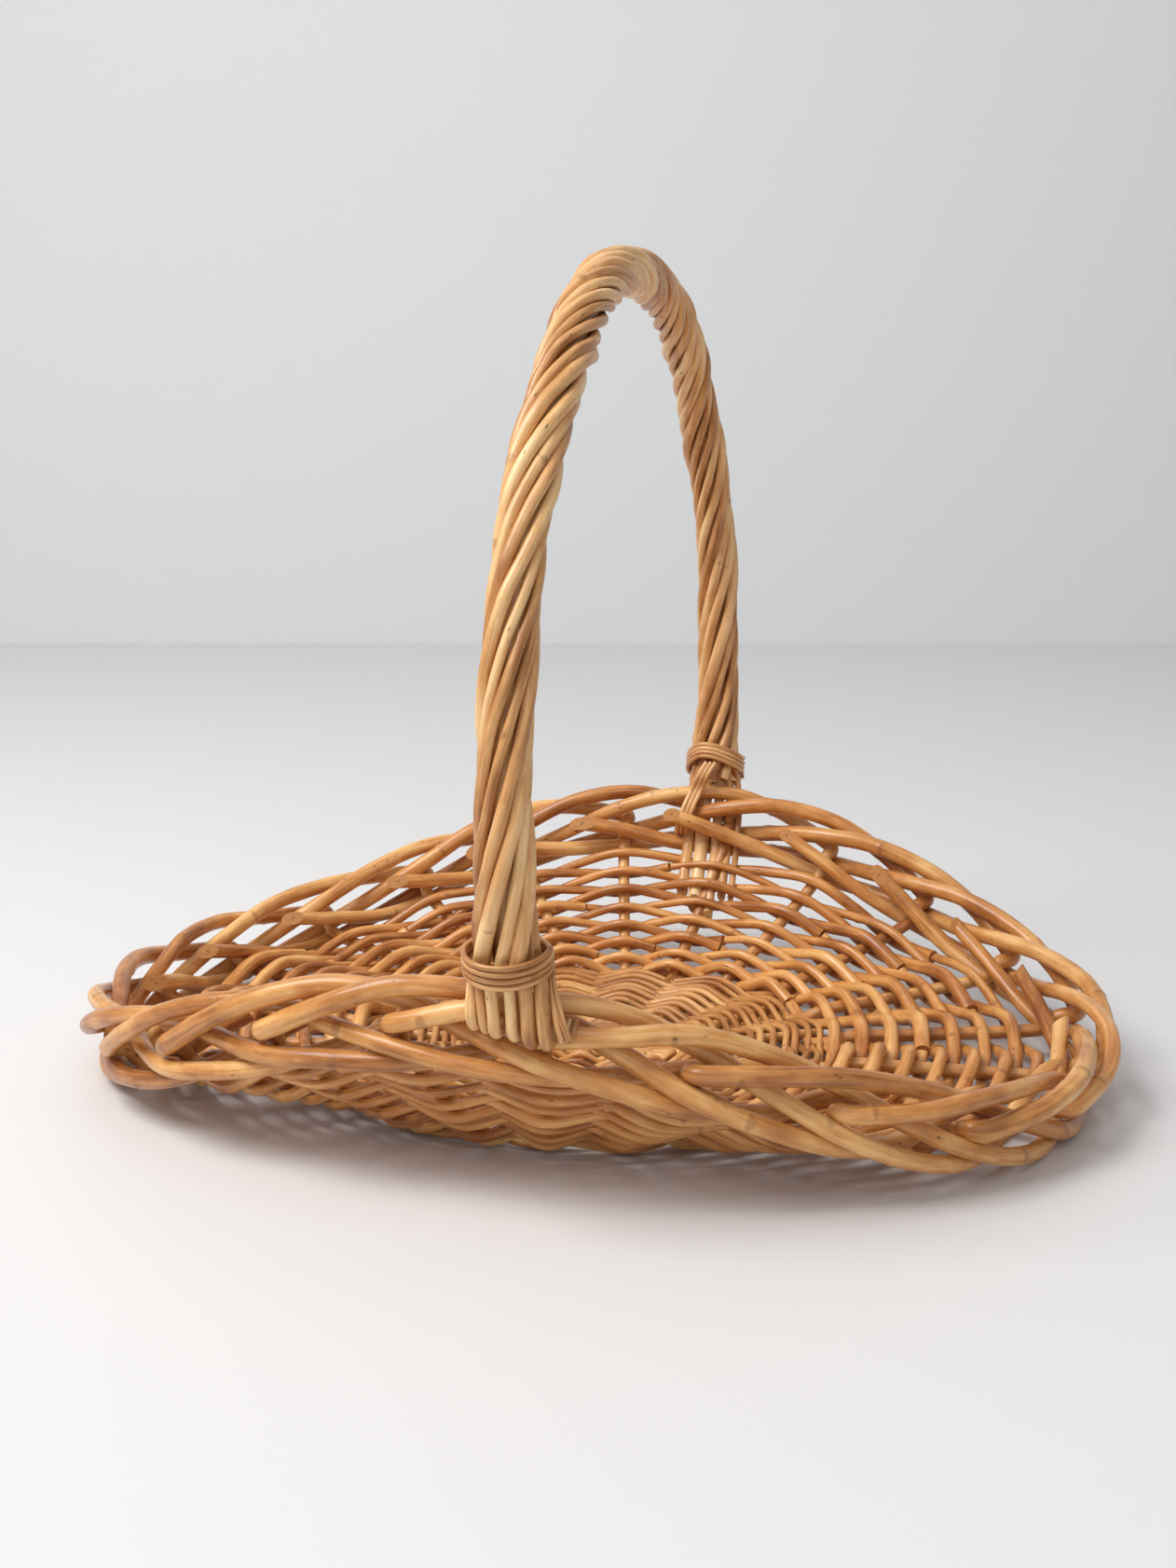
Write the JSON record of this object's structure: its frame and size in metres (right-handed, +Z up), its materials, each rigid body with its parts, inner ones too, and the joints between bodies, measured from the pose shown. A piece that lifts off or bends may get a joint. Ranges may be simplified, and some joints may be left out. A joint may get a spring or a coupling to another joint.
{
  "type": "wicker basket",
  "caption": "Low oval woven willow basket, high at the sides and low at the ends, with a fixed roped hoop handle across it",
  "frame": {"origin": "on the ground under the middle of the basket", "axes": "+Z up, +X along the basket's long axis, Y along the plane of the handle"},
  "size_m": [0.5081, 0.4356, 0.3981],
  "materials": {
    "base_willow": "satin",
    "weave_willow": "satin",
    "stake_willow": "satin",
    "handle_willow": "satin"
  },
  "bodies": {
    "root": {"base_cross_stick_1": "base_willow", "base_cross_stick_2": "base_willow", "base_cross_stick_3": "base_willow", "base_cross_stick_4": "base_willow", "base_cross_stick_5": "base_willow", "base_long_stick_1": "base_willow", "base_long_stick_2": "base_willow", "base_long_stick_3": "base_willow", "base_weave": "base_willow", "far_collar": "handle_willow", "far_foot_rod_1": "handle_willow", "far_foot_rod_2": "handle_willow", "handle_bow": "handle_willow", "handle_strand_01": "handle_willow", "handle_strand_02": "handle_willow", "handle_strand_03": "handle_willow", "handle_strand_04": "handle_willow", "handle_strand_05": "handle_willow", "handle_strand_06": "handle_willow", "handle_strand_07": "handle_willow", "handle_strand_08": "handle_willow", "handle_strand_09": "handle_willow", "near_collar": "handle_willow", "near_foot_rod_1": "handle_willow", "near_foot_rod_2": "handle_willow", "side_weave_row_01": "weave_willow", "side_weave_row_02": "weave_willow", "side_weave_row_03": "weave_willow", "side_weave_row_04": "weave_willow", "side_weave_row_05": "weave_willow", "side_weave_row_06": "weave_willow", "side_weave_row_07": "weave_willow", "side_weave_row_08": "weave_willow", "side_weave_row_09": "weave_willow", "side_weave_row_10": "weave_willow", "side_weave_row_11": "weave_willow", "side_weave_row_12": "weave_willow", "side_weave_row_13": "weave_willow", "stake_01": "stake_willow", "stake_02": "stake_willow", "stake_03": "stake_willow", "stake_04": "stake_willow", "stake_05": "stake_willow", "stake_06": "stake_willow", "stake_07": "stake_willow", "stake_08": "stake_willow", "stake_09": "stake_willow", "stake_10": "stake_willow", "stake_11": "stake_willow", "stake_12": "stake_willow", "stake_13": "stake_willow", "stake_14": "stake_willow", "stake_15": "stake_willow", "stake_16": "stake_willow", "stake_17": "stake_willow", "stake_18": "stake_willow", "stake_19": "stake_willow", "stake_20": "stake_willow", "stake_21": "stake_willow", "stake_22": "stake_willow"}
  },
  "joints": []
}
